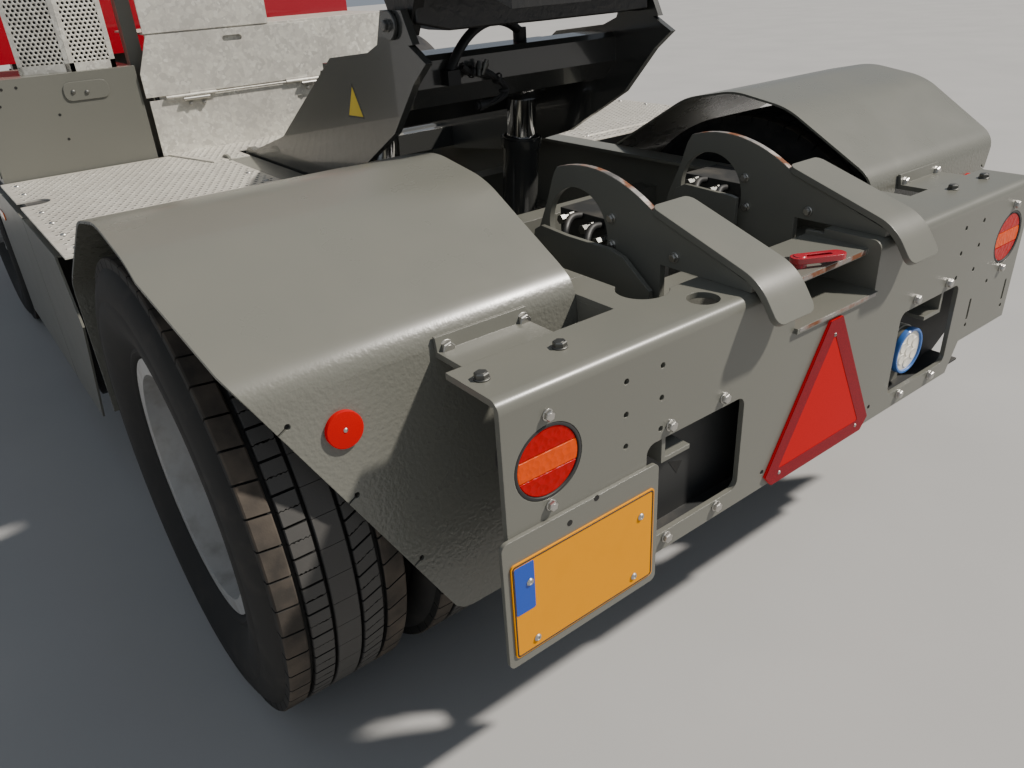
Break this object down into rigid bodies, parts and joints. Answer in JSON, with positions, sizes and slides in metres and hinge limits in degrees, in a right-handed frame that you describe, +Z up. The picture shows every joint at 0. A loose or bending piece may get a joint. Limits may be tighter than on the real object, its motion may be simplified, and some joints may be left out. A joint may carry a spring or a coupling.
{
  "type": "terminal tractor",
  "caption": "Terminal tractor with a lifting fifth wheel, twin rear tyres, folded rear mudguards, guide ramps on the rear beam and a narrow red cab set to the left.",
  "frame": {"origin": "centre of the bounding box's footprint, on the ground under the tyres", "axes": "+X forward, +Y to the vehicle's left, +Z up"},
  "size_m": [5.35, 2.7, 3.14],
  "materials": {
    "chassis_paint": "semi-gloss warm dark grey paint",
    "boom_paint": "matt dark grey paint",
    "red_paint": "gloss red paint",
    "galvanised": "galvanised sheet with spangle",
    "rim_silver": "silver paint",
    "tyre": "worn black rubber with dust",
    "rod_chrome": "polished chrome",
    "lamp_red": "ribbed lens in red and amber",
    "reflector_red": "fluorescent red film",
    "plate_yellow": "blank yellow plate with a blank blue strip",
    "glass": "clear glass",
    "dark_plastic": "moulded black plastic",
    "seat_cloth": "dark woven cloth",
    "tank_paint": "dark grey paint",
    "engine_paint": "dark cast iron",
    "hose_rubber": "smooth black hose rubber",
    "exhaust_steel": "heat-tinted steel",
    "beacon_amber": "amber dome",
    "headlamp_lens": "clear lens over a bright reflector"
  },
  "bodies": {
    "chassis": {"frame": "chassis_paint", "rear_beam": "chassis_paint", "coupling_pin": "red_paint", "rear_lamps": "lamp_red", "warning_triangle": "reflector_red", "plate_bracket": "chassis_paint", "licence_plate": "plate_yellow", "work_lamp": "chassis_paint", "ramps": "chassis_paint", "mudguard_left": "chassis_paint", "mudguard_right": "chassis_paint", "guard_brackets": "chassis_paint", "deck_plates": "galvanised", "side_skirts": "chassis_paint", "side_tanks": "tank_paint", "side_cabinet": "chassis_paint", "rear_steps": "galvanised", "exhaust_stack": "exhaust_steel", "exhaust_guard": "galvanised", "engine": "engine_paint", "front_grille": "dark_plastic", "rear_axle": "chassis_paint", "front_axle": "chassis_paint", "cylinder_feet": "chassis_paint", "cab_supports": "chassis_paint", "cab_steps": "chassis_paint", "front_fenders": "dark_plastic", "front_bumper": "chassis_paint", "headlamps": "headlamp_lens"},
    "cover": {"cover_lid": "galvanised"},
    "cab": {"cab_body": "red_paint", "cab_roof": "red_paint", "cab_glass": "glass", "driver_seat": "seat_cloth", "cab_controls": "dark_plastic", "mirrors": "dark_plastic", "beacon": "beacon_amber"},
    "door": {"cab_door": "red_paint", "door_glass": "glass"},
    "lift_boom": {"boom": "boom_paint", "boom_hose": "hose_rubber"},
    "fifth_wheel_top": {"fifth_wheel": "boom_paint"},
    "barrel_left": {"lift_barrel_left": "boom_paint"},
    "barrel_right": {"lift_barrel_right": "boom_paint"},
    "rod_left": {"lift_rod_left": "rod_chrome"},
    "rod_right": {"lift_rod_right": "rod_chrome"},
    "steer_left": {"knuckle_left": "chassis_paint"},
    "steer_right": {"knuckle_right": "chassis_paint"},
    "front_wheel_left": {"front_tyre_left": "tyre", "front_rim_left": "rim_silver"},
    "front_wheel_right": {"front_tyre_right": "tyre", "front_rim_right": "rim_silver"},
    "rear_wheels_left": {"rear_tyres_left": "tyre", "rear_rims_left": "rim_silver"},
    "rear_wheels_right": {"rear_tyres_right": "tyre", "rear_rims_right": "rim_silver"}
  },
  "joints": [
    {"name": "boom_lift", "type": "hinge", "parent": "chassis", "child": "lift_boom", "pos_m": [-0.425, 0, 0.865], "axis": [0, 1, 0], "range_deg": [-8, 16]},
    {"name": "fifth_wheel_pitch", "type": "hinge", "parent": "lift_boom", "child": "fifth_wheel_top", "pos_m": [-1.602, 0, 1.372], "axis": [0, 1, 0], "range_deg": [-10, 10]},
    {"name": "barrel_tilt_left", "type": "hinge", "parent": "chassis", "child": "barrel_left", "pos_m": [-1.133, 0.275, 0.49], "axis": [0, 1, 0], "range_deg": [-4.6, 8.8]},
    {"name": "rod_slide_left", "type": "slide", "parent": "barrel_left", "child": "rod_left", "axis": [-0.1048, 0, 0.9945], "range_m": [-0.103, 0.206]},
    {"name": "barrel_tilt_right", "type": "hinge", "parent": "chassis", "child": "barrel_right", "pos_m": [-1.133, -0.275, 0.49], "axis": [0, 1, 0], "range_deg": [-4.6, 8.8]},
    {"name": "rod_slide_right", "type": "slide", "parent": "barrel_right", "child": "rod_right", "axis": [-0.1048, 0, 0.9945], "range_m": [-0.103, 0.206]},
    {"name": "cab_tilt", "type": "hinge", "parent": "chassis", "child": "cab", "pos_m": [2.373, 0, 1.19], "axis": [0, 1, 0], "range_deg": [0, 45]},
    {"name": "door_swing", "type": "hinge", "parent": "cab", "child": "door", "pos_m": [1.395, 1.16, 1.52], "axis": [0, 0, 1], "range_deg": [-75, 0]},
    {"name": "cover_hinge", "type": "hinge", "parent": "chassis", "child": "cover", "pos_m": [-0.174, 0.3, 1.118], "axis": [0, 1, 0], "range_deg": [-100, 0]},
    {"name": "steer_left_pivot", "type": "hinge", "parent": "chassis", "child": "steer_left", "pos_m": [1.193, 0.93, 0.515], "axis": [0, 0, 1], "range_deg": [-35, 35]},
    {"name": "front_roll_left", "type": "hinge", "parent": "steer_left", "child": "front_wheel_left", "pos_m": [1.193, 1.085, 0.515], "axis": [0, 1, 0], "continuous": true},
    {"name": "steer_right_pivot", "type": "hinge", "parent": "chassis", "child": "steer_right", "pos_m": [1.193, -0.93, 0.515], "axis": [0, 0, 1], "range_deg": [-35, 35]},
    {"name": "front_roll_right", "type": "hinge", "parent": "steer_right", "child": "front_wheel_right", "pos_m": [1.193, -1.085, 0.515], "axis": [0, 1, 0], "continuous": true},
    {"name": "rear_roll_left", "type": "hinge", "parent": "chassis", "child": "rear_wheels_left", "pos_m": [-1.867, 0.934, 0.515], "axis": [0, 1, 0], "continuous": true},
    {"name": "rear_roll_right", "type": "hinge", "parent": "chassis", "child": "rear_wheels_right", "pos_m": [-1.867, -0.934, 0.515], "axis": [0, 1, 0], "continuous": true}
  ],
  "couplings": [
    {"joint": "barrel_tilt_left", "follows": "boom_lift", "ratio": 0.53},
    {"joint": "rod_slide_left", "follows": "boom_lift", "m_per_rad": 0.73},
    {"joint": "barrel_tilt_right", "follows": "boom_lift", "ratio": 0.53},
    {"joint": "rod_slide_right", "follows": "boom_lift", "m_per_rad": 0.73},
    {"joint": "steer_right_pivot", "follows": "steer_left_pivot", "ratio": 1}
  ]
}
